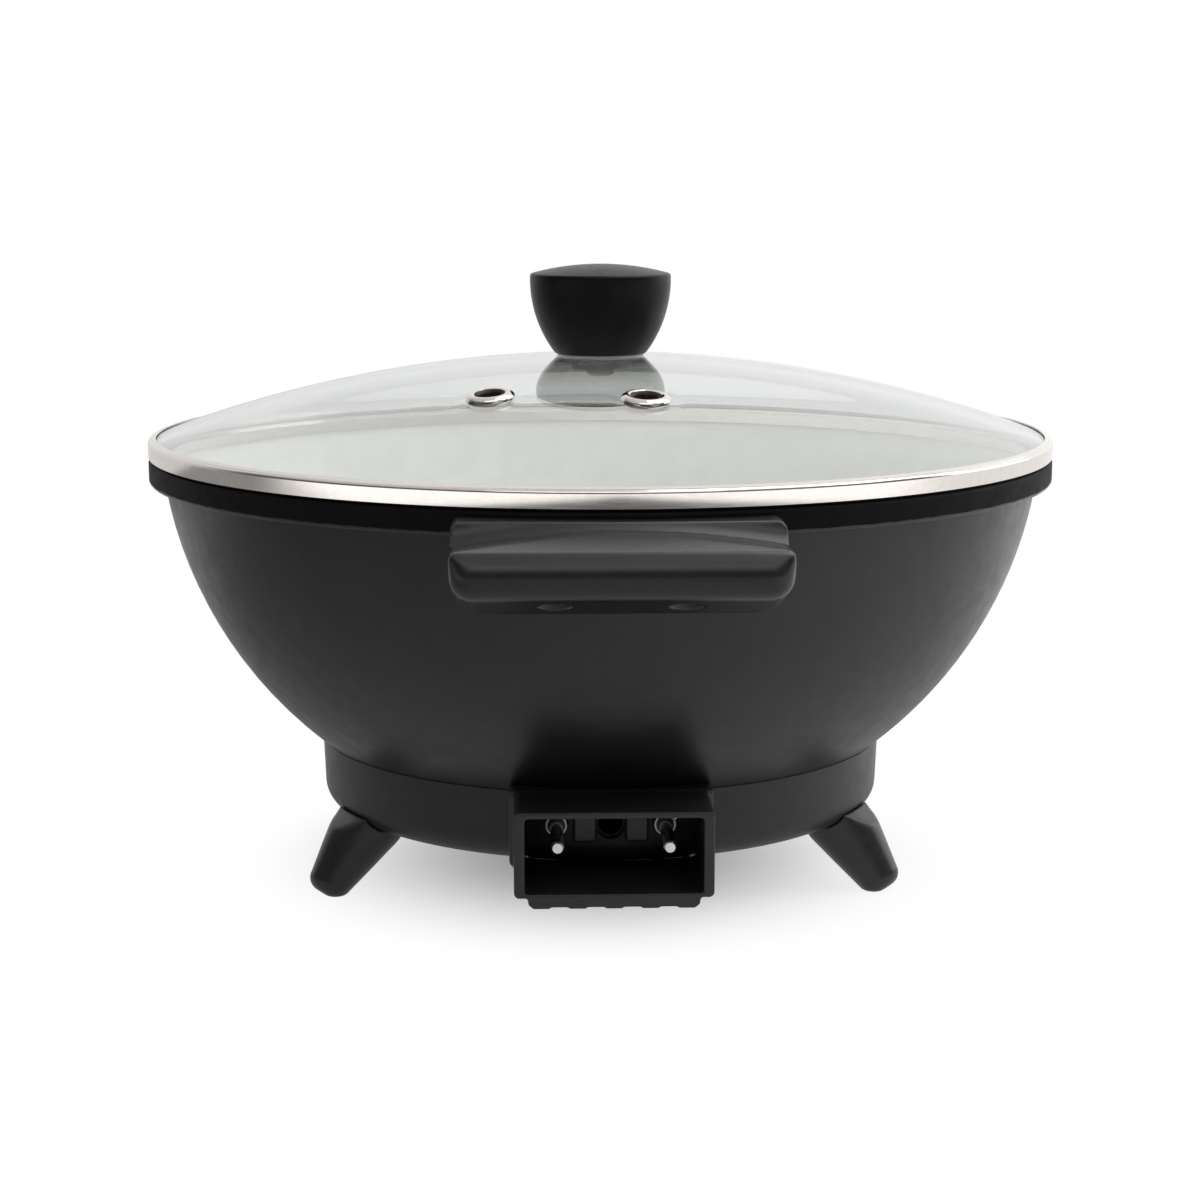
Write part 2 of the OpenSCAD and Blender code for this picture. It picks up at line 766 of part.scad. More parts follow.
module foot_section() {
    turn = [foot_end_r - foot_round, foot_round - foot_l];
    flare = (foot_wide_r - foot_end_r) / (foot_l - foot_round);
    step = 90 / foot_steps;
    polygon([
        [0, -foot_l],
        for (a = [0 : step : 90]) turn + foot_round * [sin(a), -cos(a)],
        [foot_wide_r + flare * foot_head, foot_head],
        [0, foot_head]
    ]);
}

// Section of the space above a foot's sloped outer edge
module foot_headroom() {
    edge_z = foot_h + foot_tuck;
    reach = 2 * skirt_fillet;
    fall = reach * tan(foot_top_slope);
    polygon([
        [skirt_foot_r - reach, edge_z + fall],
        [skirt_foot_r + reach, edge_z - fall],
        [skirt_foot_r + reach, 2 * crease_z],
        [skirt_foot_r - reach, 2 * crease_z]
    ]);
}

// A splayed foot, cut to the base ring's underside, clear of the cover and ground flat where it stands
module foot(turn) {
    color("#151515") difference() {
        at_foot(turn) rotate_extrude() foot_section();
        rotate_extrude() skirt_form(-seat_gap);
        rotate_extrude() foot_headroom();
        cylinder(r = cover_r + 2 * seat_gap, h = foot_h);
        translate([-rim_r, -rim_r, -foot_h]) cube([2 * rim_r, 2 * rim_r, foot_h]);
        at_foot(turn) translate([0, 0, -foot_screw_depth])
            cylinder(r = screw_r + thread_gap, h = foot_screw_depth + foot_head);
    }
}

module foot_front_left() {
    foot(foot_turns[0]);
}

module foot_front_right() {
    foot(foot_turns[1]);
}

module foot_rear() {
    foot(foot_turns[2]);
}

module foot_screws() {
    color("Silver") for (turn = foot_turns) at_foot(turn) translate([0, 0, foot_boss_h])
        mirror([0, 0, 1]) screw(foot_boss_h + foot_screw_depth - over);
}

// Lid

// Space between two spheres of the dome, out to a radius
module dome_shell(inner_r, outer_r, reach) {
    intersection() {
        difference() {
            translate([0, dome_z]) circle(outer_r, $fn = crown_fn);
            translate([0, dome_z]) circle(inner_r, $fn = crown_fn);
        }
        translate([0, band_z]) square([reach, apex_z]);
    }
}

// Places a steam vent: z points out of the glass, from its outer face
module at_vent(side) {
    rotate(lid_turn + side * vent_angle) translate([0, 0, dome_z]) rotate([vent_tilt, 0, 0])
        translate([0, 0, glass_out_r]) children();
}

module lid_glass() {
    color("#9fb4b4", 0.5) difference() {
        rotate_extrude() difference() {
            dome_shell(glass_in_r, glass_out_r, glass_r);
            square([knob_hole_r, 2 * apex_z]);
        }
        for (side = [-1, 1]) at_vent(side) translate([0, 0, -2 * glass_t])
            cylinder(r = vent_sleeve_r + seat_gap, h = 3 * glass_t);
    }
}

// Section of the band's outside: upright wall with a rounded foot and shoulder, lip along the dome
module band_form() {
    intersection() {
        translate([0, dome_z]) circle(band_out_r, $fn = crown_fn);
        translate([band_lip_r, band_z]) square([band_lip - band_round, apex_z]);
    }
    translate([band_lip_r, band_z + band_foot]) square([band_lip, band_turn_z - band_z - band_foot]);
    translate([band_lip_r, band_z]) square([band_lip - band_foot, band_round]);
    translate([rim_r - band_foot, band_z + band_foot]) circle(band_foot);
    translate([rim_r - band_round, band_turn_z]) circle(band_round);
}

module lid_band() {
    color("WhiteSmoke") rotate_extrude() {
        difference() {
            band_form();
            dome_shell(glass_in_r - seat_gap, glass_out_r + seat_gap, glass_r + seat_gap);
        }
        translate([bead_out_r - band_t, band_z]) square([band_lip_r - bead_out_r + 2 * band_t, band_t]);
        translate([bead_out_r - band_t, band_z - bead_h]) square([band_t, bead_h + band_t]);
    }
}

// A steam vent: bead on the glass, sleeve through it and a turned-over flange inside
module vent_eyelet(side) {
    bead_half = (vent_bead_r - vent_hole_r) / 2;
    bead_sink = bead_half / 4;
    foot = -(glass_t + 2 * seat_gap + eyelet_t);
    color("Gainsboro") at_vent(side) rotate_extrude() {
        intersection() {
            translate([vent_hole_r + bead_half, -bead_sink]) circle(norm([bead_half, bead_sink + seat_gap]));
            translate([vent_hole_r, seat_gap]) square([2 * bead_half, 2 * bead_half]);
        }
        translate([vent_hole_r, foot]) square([eyelet_t, 2 * seat_gap - foot]);
        translate([vent_hole_r, foot]) square([vent_flange_r - vent_hole_r, eyelet_t]);
    }
}

module vent_eyelet_left() {
    vent_eyelet(-1);
}

module vent_eyelet_right() {
    vent_eyelet(1);
}

// Knob

module lid_knob() {
    color("#1c1c1c") difference() {
        rotate_extrude() intersection() {
            translate(knob_c) circle(knob_arc_r);
            translate([0, knob_edge_z + knob_crown - knob_top_r]) circle(knob_top_r);
            translate([0, knob_z]) square([2 * knob_edge_r, 2 * knob_side_h]);
        }
        translate([0, 0, knob_z - over]) cylinder(r = insert_r + thread_gap, h = insert_l + over + seat_gap);
    }
}

module knob_insert() {
    color("Goldenrod") difference() {
        translate([0, 0, knob_z]) cylinder(r = insert_r, h = insert_l);
        translate([0, 0, knob_z - over]) cylinder(r = knob_screw_r + thread_gap, h = insert_l + 2 * over);
    }
}

// Soft washer under the knob, with a neck that lines the hole in the glass
module knob_gasket() {
    color("LightGray") difference() {
        union() {
            translate([0, 0, apex_z]) cylinder(r = knob_base_r - gasket_inset, h = gasket_t);
            translate([0, 0, under_z]) cylinder(r = gasket_neck_r, h = glass_t + gasket_t / 2);
        }
        translate([0, 0, under_z - over])
            cylinder(r = knob_screw_r + seat_gap, h = glass_t + gasket_t + 2 * over);
    }
}

module knob_lower_gasket() {
    color("LightGray") translate([0, 0, washer_z + washer_t]) difference() {
        cylinder(r = low_gasket_r, h = low_gasket_t);
        translate([0, 0, -over]) cylinder(r = knob_screw_r + seat_gap, h = low_gasket_t + 2 * over);
    }
}

module knob_washer() {
    color("Silver") translate([0, 0, washer_z]) difference() {
        cylinder(r = washer_r, h = washer_t);
        translate([0, 0, -over]) cylinder(r = knob_screw_r + seat_gap, h = washer_t + 2 * over);
    }
}

module knob_screw() {
    color("Silver") {
        translate([0, 0, washer_z - knob_head_h]) cylinder(r = 2 * knob_screw_r, h = knob_head_h);
        translate([0, 0, washer_z - over]) cylinder(r = knob_screw_r, h = knob_z + insert_l - washer_z);
    }
}

pan();
base_skirt();
bottom_cover();
base_screws();
heat_plate();
heating_element();
element_clamp();
clamp_screw();
terminal_beads();
terminal_pin_left();
terminal_pin_right();
probe_block();
socket_shroud();
socket_screws();
handle_mount();  // front_handle_mount
handle_grip();  // front_handle_grip
handle_screws();  // front_handle_screws
rotate(180) handle_mount();  // rear_handle_mount
rotate(180) handle_grip();  // rear_handle_grip
rotate(180) handle_screws();  // rear_handle_screws
foot_front_left();
foot_front_right();
foot_rear();
foot_screws();
lid_glass();
lid_band();
vent_eyelet_left();
vent_eyelet_right();
lid_knob();
knob_insert();
knob_gasket();
knob_lower_gasket();
knob_washer();
knob_screw();
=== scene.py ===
"""Looks of the electric skillet: fine edges, finishes, camera and light around the fixed frame."""
import math

import bmesh
import bpy
from mathutils import Matrix, Vector


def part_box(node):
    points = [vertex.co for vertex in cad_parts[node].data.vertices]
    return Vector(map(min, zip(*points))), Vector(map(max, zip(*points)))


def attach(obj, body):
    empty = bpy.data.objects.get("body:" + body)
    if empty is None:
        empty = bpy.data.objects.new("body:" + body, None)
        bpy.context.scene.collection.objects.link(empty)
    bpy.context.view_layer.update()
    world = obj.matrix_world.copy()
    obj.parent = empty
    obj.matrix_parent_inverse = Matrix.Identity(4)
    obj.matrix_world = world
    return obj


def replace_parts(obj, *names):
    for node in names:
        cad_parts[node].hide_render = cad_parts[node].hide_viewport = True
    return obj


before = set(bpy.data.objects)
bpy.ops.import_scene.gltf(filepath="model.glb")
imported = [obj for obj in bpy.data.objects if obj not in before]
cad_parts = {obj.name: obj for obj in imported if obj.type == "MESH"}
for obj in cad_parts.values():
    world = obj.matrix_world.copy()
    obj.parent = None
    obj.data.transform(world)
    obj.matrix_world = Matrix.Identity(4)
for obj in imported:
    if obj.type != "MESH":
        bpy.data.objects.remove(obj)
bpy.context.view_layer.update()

MM = 0.001
COOKER = "cooker"
LID = "lid"

# Camera, placed as the photograph was taken: pixels are those of a frame of 1200 by 1200
IMAGE_PX = 1200
FOCAL_PX = 2516.7
PAN_PX = -0.4
SENSOR = 36.0
CAMERA_FAR = 900 * MM
CAMERA_UP = 254.3 * MM
CAMERA_TURN = math.radians(-1.9)
CAMERA_DIP = 0.176

# Meshes: what is one corner or radius, a flat or sharp edge, how mouldings soften, and steps of a turn
WELD = 0.001 * MM
SAME_RADIUS = 0.01 * MM
SECTION_DIGITS = 5
FLAT_ANGLE = math.radians(0.05)
SHARP_ANGLE = math.radians(32)
ROUND_PROFILE = 0.5
VOXEL = 0.5 * MM
SMOOTH_FACTOR = 0.5
RING_STEPS = 480
SCREW_STEPS = 40

# Pan: edge and lowest level of the cooking surface, height of the rim band that gets painted shade, and
# what counts as level
COAT_TOP_R = 153.0 * MM
COAT_FLOOR = 46.9 * MM
RIM_SHADE_HEIGHT = 7.0 * MM
LEVEL_NORMAL = 0.9
COAT_INDEX = 1
RIM_SHADE_INDEX = 2

# Mouldings: the knob's round edge, and rounds of smoothing on the others
KNOB_EDGE = 2.4 * MM
KNOB_EDGE_STEPS = 6
SHROUD_ROUNDS = 3
PLATE_ROUNDS = 5
BAR_ROUNDS = 4
BAR_END_ROUNDS = 30
FOOT_ROUNDS = 4
SHOULDER_ROUNDS = 60

# Handle ends, which are rounder than the rest of the bar
HANDLE_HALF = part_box("front_handle_grip")[1].x
HANDLE_END = 12 * MM

# Foot shoulders, eased by their gap to the base ring: its floor, its round edge and the gap's bounds
BASE_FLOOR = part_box("base_skirt")[0].z
BASE_FLAT_R = 92.6 * MM
BASE_ROUND = 7.6 * MM
SHOULDER_TOP = (0.8 * MM, 4 * MM)
SHOULDER_FOOT = (10 * MM, 14 * MM)

# Steam vents: how far from an eyelet's middle its inner faces get painted shade
BORE_SHADE_REACH = 8.8 * MM
BORE_SHADE_INDEX = 1

# Screws: pitch of the thread, and shares of the head's and the shank's own sizes
THREAD_PITCH = 0.7 * MM
THREAD_ROOT = 0.86
SHANK_TIP = 0.8
HEAD_DOME = 0.6
DOME_STEPS = 6
CROSS_LENGTH = 1.15
CROSS_WIDTH = 0.26
CROSS_DEPTH = 0.55
CROSS_TURN = math.radians(20)

# Finishes: the span of most noise, and the black mouldings' levels with their spread and trace of blue; one
# black, set lower on the handles as painted shade and higher on the base as painted light
NOISE_SPAN = (0.3, 0.7)
HANDLE_LEVEL_PAINTED_SHADE = 0.0095
BASE_LEVEL_PAINTED_LIGHT = 0.023
SHADE_SPREAD = 0.12
SHADE_BLUE = 1.02

# Room, by the direction of a ray: each smooth step has its start, its end, and the light before and after
ROOM_DARK = 0.14
ROOM_BACK = (0.1, 0.7, ROOM_DARK, 1.0)
ROOM_ABOVE = (0.35, 0.8, ROOM_DARK, 0.8)
ROOM_SIDEWAYS = (-0.6, 0.6, 0.75, 1.1)
ROOM_AMBIENT = 0.45
ROOM_LEAST = 0.3

# Floor: its size and finish, and the step in metres from its shadow under the object to white
FLOOR_SIZE = 12.0
FLOOR_FINISH = {"Base Color": (0.92, 0.92, 0.92, 1), "Roughness": 0.9, "Specular IOR Level": 0.1}
SHADOW_FADE = (20 * MM, 135 * MM, 0.22, 1.0)

# Floor as the object mirrors it, in steps along x, along y or away from the middle, in metres
MIRROR_SIDE = (-0.45, 0.5, 0.3, 0.95)
MIRROR_REAR = (0.0, 0.4, 0.0, 0.7)
MIRROR_REAR_FADE = (0.7, 1.0, 1.0, 0.0)
MIRROR_BACKDROP = (0.6, 0.85, 0.0, 0.7)
MIRROR_AHEAD = (1.0, 1.15, 0.0, 1.0)
MIRROR_AHEAD_FADE = (-0.75, 0.05, 1.0, 0.0)

# Dark place on the mirrored floor, under the camera: its sideways shift, its slant and the step at its edge
DARK_SHIFT = 0.09
DARK_SLANT = 1.2
DARK_EDGE = (2.1, 2.45, 0.1, 1.4)


# Objects

def link(name, data):
    """A new object in the scene."""
    piece = bpy.data.objects.new(name, data)
    bpy.context.scene.collection.objects.link(piece)
    return piece


def wear(piece, body, slot, *materials):
    """Gives a piece its body and its materials; its slot is not used."""
    piece.data.materials.clear()
    for material in materials:
        piece.data.materials.append(material)
    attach(piece, body)
    return piece


def smooth_shading(mesh, angle=SHARP_ANGLE):
    """Smooth faces with sharp edges past an angle, without the normals that came with the frame."""
    old = mesh.attributes.get("custom_normal")
    if old:
        mesh.attributes.remove(old)
    mesh.polygons.foreach_set("use_smooth", [True] * len(mesh.polygons))
    mesh.set_sharp_from_angle(angle=angle)


def welded(mesh):
    """A mesh for editing, whose faces share their corners."""
    form = bmesh.new()
    form.from_mesh(mesh)
    bmesh.ops.remove_doubles(form, verts=form.verts, dist=WELD)
    return form


def formed(form, name):
    """Ends the editing of a mesh and puts it in the scene."""
    mesh = bpy.data.meshes.new(name)
    form.to_mesh(mesh)
    form.free()
    return link(name, mesh)


def settled(piece):
    """Turns a piece's modifiers into its mesh."""
    graph = bpy.context.evaluated_depsgraph_get()
    mesh = bpy.data.meshes.new_from_object(piece.evaluated_get(graph))
    piece.modifiers.clear()
    piece.data = mesh
    return piece


def copied(node, name):
    """A copy of a node with the same mesh, which stands for that node."""
    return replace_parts(link(name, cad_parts[node].data.copy()), node)


def bevelled(node, name, edge, segments):
    """A copy of a node with its sharp edges rounded, which stands for that node."""
    form = welded(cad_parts[node].data)
    bmesh.ops.dissolve_limit(
        form, angle_limit=FLAT_ANGLE, use_dissolve_boundaries=False, verts=form.verts, edges=form.edges)
    sharp = [e for e in form.edges if len(e.link_faces) == 2 and e.calc_face_angle() > SHARP_ANGLE]
    bmesh.ops.bevel(
        form, geom=sharp, offset=edge, offset_type="OFFSET", segments=segments,
        profile=ROUND_PROFILE, affect="EDGES", clamp_overlap=True)
    piece = formed(form, name)
    smooth_shading(piece.data)
    weigh = piece.modifiers.new("weigh", "WEIGHTED_NORMAL")
    weigh.keep_sharp = True
    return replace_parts(piece, node)


def softened(node, name, rounds):
    """A copy of a moulding, meshed evenly with its edges eased by smoothing, which stands for that node."""
    piece = link(name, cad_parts[node].data.copy())
    even = piece.modifiers.new("even", "REMESH")
    even.mode = "VOXEL"
    even.voxel_size = VOXEL
    soft = piece.modifiers.new("soft", "SMOOTH")
    soft.factor = SMOOTH_FACTOR
    soft.iterations = rounds
    settled(piece)
    smooth_shading(piece.data, math.pi)
    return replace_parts(piece, node)


def eased(piece, rounds, share):
    """Smooths a piece further, as much as a share that is worked out from each corner's place says."""
    group = piece.vertex_groups.new(name="eased")
    for corner in piece.data.vertices:
        group.add([corner.index], share(corner.co), "REPLACE")
    soft = piece.modifiers.new("eased", "SMOOTH")
    soft.factor = SMOOTH_FACTOR
    soft.iterations = rounds
    soft.vertex_group = group.name
    settled(piece)
    piece.vertex_groups.clear()


def slope(value, low, high):
    """How far a value has come from one bound to another, from 0 to 1."""
    return min(max((value - low) / (high - low), 0.0), 1.0)


def near_handle_end(place):
    """1 at the ends of a handle, 0 over the rest of its length."""
    return slope(abs(place.x), HANDLE_HALF - HANDLE_END, HANDLE_HALF - HANDLE_END / 2)


def near_foot_shoulder(place):
    """1 a little below the base ring, 0 where a foot meets the ring and at its lower end."""
    out = max(place.xy.length - BASE_FLAT_R, 0.0)
    gap = math.hypot(out, BASE_FLOOR + BASE_ROUND - place.z) - BASE_ROUND
    return slope(gap, *SHOULDER_TOP) - slope(gap, *SHOULDER_FOOT)


# Turned shapes

def lathe(form, profile, place, steps):
    """Adds a turned shape to a mesh: its profile is a list of radius and height."""
    turns = [2 * math.pi * i / steps for i in range(steps)]
    rings = []
    for radius, height in profile:
        spots = [Vector((radius * math.cos(a), radius * math.sin(a), height)) for a in turns]
        if radius == 0:
            spots = spots[:1]
        rings.append([form.verts.new(place + spot) for spot in spots])
    for low, high in zip(rings, rings[1:]):
        for i in range(steps):
            after = i + 1
            corners = [
                low[i % len(low)], low[after % len(low)],
                high[after % len(high)], high[i % len(high)]]
            form.faces.new(list(dict.fromkeys(corners)))


def section_point(place):
    """Radius and height of a place, rounded so that the corners of one ring agree."""
    return round(place.xy.length, SECTION_DIGITS), round(place.z, SECTION_DIGITS)


def turned_finer(node, name):
    """A copy of a ring, turned in finer steps with the same section, which stands for that node."""
    form = welded(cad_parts[node].data)
    beside = {}
    for edge in form.edges:
        first, second = [section_point(v.co) for v in edge.verts]
        if first != second:
            beside.setdefault(first, set()).add(second)
            beside.setdefault(second, set()).add(first)
    section = [min(beside)]
    onward = sorted(beside[section[0]])
    while onward:
        section.append(onward[0])
        onward = sorted(beside[section[-1]] - set(section))
    form.clear()
    lathe(form, section + section[:1], Vector(), RING_STEPS)
    bmesh.ops.remove_doubles(form, verts=form.verts, dist=WELD)
    bmesh.ops.recalc_face_normals(form, faces=form.faces)
    piece = formed(form, name)
    smooth_shading(piece.data)
    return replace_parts(piece, node)


# Screws

def islands(mesh):
    """Corners of each separate solid in a mesh."""
    form = welded(mesh)
    left = set(form.verts)
    groups = []
    while left:
        reach = [left.pop()]
        group = []
        while reach:
            corner = reach.pop()
            group.append(corner.co.copy())
            near = {e.other_vert(corner) for e in corner.link_edges} & left
            left -= near
            reach += near
        groups.append(group)
    form.free()
    return groups


def screw_profile(head_r, head_h, shank_r, length):
    """Radius and height along a screw with a domed head and a thread, from the head to the tip."""
    dome = []
    for step in range(1, DOME_STEPS + 1):
        turn = math.pi / 2 * step / DOME_STEPS
        dome.append((head_r * math.sin(turn), head_h * HEAD_DOME * (1 - math.cos(turn))))
    rows = round((length - head_h) / THREAD_PITCH) - 1
    pitch = (length - head_h) / (rows + 1)
    thread = []
    for row in range(rows):
        foot = head_h + row * pitch
        thread.append((shank_r * THREAD_ROOT, foot))
        thread.append((shank_r, foot + pitch / 2))
    tip = [(shank_r * SHANK_TIP, length), (0, length)]
    return [(0, 0), *dome, (head_r, head_h), *thread, *tip]


def crossed_screws(node, name):
    """Screws with a domed head, a cross recess and a thread, each in the space of its plain solid."""
    body = bmesh.new()
    tool = bmesh.new()
    for corners in islands(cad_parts[node].data):
        low = Vector([min(c[i] for c in corners) for i in range(3)])
        high = Vector([max(c[i] for c in corners) for i in range(3)])
        place = Vector((*((low + high) / 2).xy, low.z))
        length = high.z - low.z
        spread = [((c.xy - place.xy).length, c.z - low.z) for c in corners]
        head_r = max(radius for radius, height in spread)
        head_h = max(height for radius, height in spread if radius > head_r - SAME_RADIUS)
        shank_r = max(radius for radius, height in spread if height > length - WELD)
        lathe(body, screw_profile(head_r, head_h, shank_r, length), place, SCREW_STEPS)
        size = Matrix.Diagonal((head_r * CROSS_LENGTH, head_r * CROSS_WIDTH, 2 * head_h * CROSS_DEPTH, 1))
        for turn in (CROSS_TURN, CROSS_TURN + math.pi / 2):
            spin = Matrix.Translation(place) @ Matrix.Rotation(turn, 4, "Z")
            bmesh.ops.create_cube(tool, size=1, matrix=spin @ size)
    bmesh.ops.recalc_face_normals(body, faces=body.faces)
    piece = formed(body, name)
    cutter = formed(tool, f"{name}_recess")
    cut = piece.modifiers.new("recess", "BOOLEAN")
    cut.operation = "DIFFERENCE"
    cut.solver = "EXACT"
    cut.use_self = True
    cut.object = cutter
    settled(piece)
    bpy.data.objects.remove(cutter)
    smooth_shading(piece.data)
    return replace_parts(piece, node)


# Finishes

class Finish:
    """A material on one Principled shader, with a plain colour and roughness that noise then varies."""

    def __init__(self, name, color, roughness, metallic=0.0, **sockets):
        self.material = bpy.data.materials.new(name)
        self.material.use_nodes = True
        self.tree = self.material.node_tree
        self.shader = self.tree.nodes["Principled BSDF"]
        self.set(self.shader, **{"Base Color": (*color, 1), "Roughness": roughness, "Metallic": metallic})
        self.set(self.shader, **sockets)
        self.place = self.add("ShaderNodeTexCoord").outputs["Object"]
        self.normal = None

    @staticmethod
    def set(node, **sockets):
        for name, value in sockets.items():
            node.inputs[name].default_value = value

    def add(self, kind, **sockets):
        node = self.tree.nodes.new(kind)
        self.set(node, **sockets)
        return node

    def join(self, source, node, socket):
        self.tree.links.new(source, node.inputs[socket])

    def stretched(self, x, y, z):
        """The place on the object, stretched along its axes."""
        node = self.add("ShaderNodeMapping", Scale=(x, y, z))
        self.join(self.place, node, "Vector")
        return node.outputs["Vector"]

    def noise(self, grain_mm, detail, place=None):
        """Noise with grains of about that size, from 0 to 1."""
        node = self.add("ShaderNodeTexNoise", Scale=1 / (grain_mm * MM), Detail=detail)
        self.join(place or self.place, node, "Vector")
        return node.outputs["Fac"]

    def tint(self, low, high, **grains):
        """Base colour that runs from one colour to another over noise."""
        node = self.add("ShaderNodeValToRGB")
        for stop, color, position in zip(node.color_ramp.elements, (low, high), NOISE_SPAN):
            stop.color = (*color, 1)
            stop.position = position
        self.join(self.noise(**grains), node, "Fac")
        self.join(node.outputs["Color"], self.shader, "Base Color")

    def rough(self, low, high, **grains):
        """Roughness that runs from one value to another over noise."""
        node = self.add("ShaderNodeMapRange")
        from_low, from_high = NOISE_SPAN
        self.set(node, **{"From Min": from_low, "From Max": from_high, "To Min": low, "To Max": high})
        self.join(self.noise(**grains), node, "Value")
        self.join(node.outputs["Result"], self.shader, "Roughness")

    def bump(self, depth_mm, **grains):
        """A layer of relief over noise, on top of the layers before it."""
        node = self.add("ShaderNodeBump", Strength=1.0, Distance=depth_mm * MM)
        self.join(self.noise(**grains), node, "Height")
        if self.normal:
            self.join(self.normal, node, "Normal")
        self.normal = node.outputs["Normal"]
        self.join(self.normal, self.shader, "Normal")


def charcoal_enamel():
    finish = Finish("charcoal_enamel", color=(0.013, 0.013, 0.0135), roughness=0.42)
    finish.tint(low=(0.0115, 0.0115, 0.012), high=(0.015, 0.015, 0.0156), grain_mm=18, detail=4)
    finish.rough(low=0.4, high=0.47, grain_mm=6, detail=4)
    finish.bump(depth_mm=0.006, grain_mm=1.6, detail=2)
    finish.bump(depth_mm=0.003, grain_mm=0.3, detail=2)
    return finish.material


# Painted shade: the charcoal enamel made darker and duller for the upright rim band, which is darker only
# by the way light falls on it
def rim_enamel_painted_shade():
    gloss = {"Specular IOR Level": 0.08}
    finish = Finish("rim_enamel_painted_shade", color=(0.006, 0.006, 0.0062), roughness=0.6, **gloss)
    finish.tint(low=(0.005, 0.005, 0.0052), high=(0.007, 0.007, 0.0073), grain_mm=9, detail=4)
    finish.rough(low=0.56, high=0.66, grain_mm=4, detail=4)
    finish.bump(depth_mm=0.006, grain_mm=0.9, detail=2)
    return finish.material


def cooking_coat():
    finish = Finish("cooking_coat", color=(0.74, 0.735, 0.7), roughness=0.42)
    finish.tint(low=(0.71, 0.705, 0.67), high=(0.77, 0.765, 0.73), grain_mm=9, detail=5)
    finish.rough(low=0.36, high=0.48, grain_mm=4, detail=4)
    finish.bump(depth_mm=0.01, grain_mm=0.8, detail=3)
    return finish.material


def cool_black(shade):
    """A near-black with a trace of blue."""
    return shade, shade, shade * SHADE_BLUE


def black_moulding(name, shade):
    low = cool_black(shade * (1 - SHADE_SPREAD))
    high = cool_black(shade * (1 + SHADE_SPREAD))
    finish = Finish(name, color=cool_black(shade), roughness=0.31)
    finish.tint(low, high, grain_mm=5, detail=4)
    finish.rough(low=0.28, high=0.35, grain_mm=2.5, detail=4)
    finish.bump(depth_mm=0.005, grain_mm=0.5, detail=3)
    finish.bump(depth_mm=0.0025, grain_mm=0.16, detail=2)
    return finish.material


# Painted shade: the black phenolic of the other mouldings made darker and less glossy for the knob
def knob_phenolic_painted_shade():
    gloss = {"Specular IOR Level": 0.14}
    finish = Finish("knob_phenolic_painted_shade", color=(0.0025, 0.0025, 0.0026), roughness=0.34, **gloss)
    finish.tint(low=(0.0021, 0.0021, 0.0022), high=(0.003, 0.003, 0.0031), grain_mm=5, detail=4)
    finish.rough(low=0.31, high=0.38, grain_mm=2.5, detail=4)
    finish.bump(depth_mm=0.004, grain_mm=0.5, detail=3)
    finish.bump(depth_mm=0.002, grain_mm=0.16, detail=2)
    return finish.material


def polished_steel():
    finish = Finish("polished_steel", color=(0.78, 0.735, 0.695), roughness=0.1, metallic=1.0)
    lines = finish.stretched(x=0.04, y=0.04, z=1)
    finish.tint(low=(0.76, 0.715, 0.675), high=(0.8, 0.755, 0.715), grain_mm=2, detail=3)
    finish.rough(low=0.08, high=0.11, grain_mm=0.5, detail=4, place=lines)
    finish.bump(depth_mm=0.0001, grain_mm=0.25, detail=2, place=lines)
    return finish.material


def vent_bore_painted_shade():
    """Steel made dull and dark in the bore of a steam vent, as painted shade where the hollow lies in
    shade.
    """
    finish = Finish("vent_bore_painted_shade", color=(0.05, 0.042, 0.038), roughness=0.5, metallic=0.8)
    finish.tint(low=(0.035, 0.029, 0.026), high=(0.065, 0.055, 0.05), grain_mm=2, detail=4)
    finish.rough(low=0.44, high=0.58, grain_mm=1, detail=3)
    finish.bump(depth_mm=0.003, grain_mm=0.4, detail=3)
    return finish.material


def plated_steel():
    finish = Finish("plated_steel", color=(0.52, 0.52, 0.51), roughness=0.34, metallic=1.0)
    finish.tint(low=(0.47, 0.47, 0.46), high=(0.56, 0.56, 0.55), grain_mm=3, detail=4)
    finish.rough(low=0.28, high=0.44, grain_mm=1.2, detail=4)
    finish.bump(depth_mm=0.004, grain_mm=0.4, detail=3)
    return finish.material


def contact_plating():
    finish = Finish("contact_plating", color=(0.86, 0.85, 0.82), roughness=0.2, metallic=1.0)
    finish.tint(low=(0.83, 0.82, 0.79), high=(0.89, 0.88, 0.85), grain_mm=1.5, detail=3)
    finish.rough(low=0.16, high=0.24, grain_mm=0.6, detail=3)
    finish.bump(depth_mm=0.001, grain_mm=0.3, detail=2)
    return finish.material


def heater_sheath():
    finish = Finish("heater_sheath", color=(0.4, 0.39, 0.375), roughness=0.36, metallic=1.0)
    finish.tint(low=(0.32, 0.305, 0.29), high=(0.46, 0.445, 0.43), grain_mm=7, detail=4)
    finish.rough(low=0.3, high=0.44, grain_mm=2, detail=4)
    finish.bump(depth_mm=0.005, grain_mm=0.4, detail=3)
    return finish.material


def bare_aluminium():
    finish = Finish("bare_aluminium", color=(0.68, 0.68, 0.69), roughness=0.36, metallic=1.0)
    lines = finish.stretched(x=1, y=0.05, z=1)
    finish.tint(low=(0.64, 0.64, 0.65), high=(0.72, 0.72, 0.73), grain_mm=4, detail=3)
    finish.rough(low=0.3, high=0.46, grain_mm=0.5, detail=3, place=lines)
    finish.bump(depth_mm=0.003, grain_mm=0.3, detail=2, place=lines)
    return finish.material


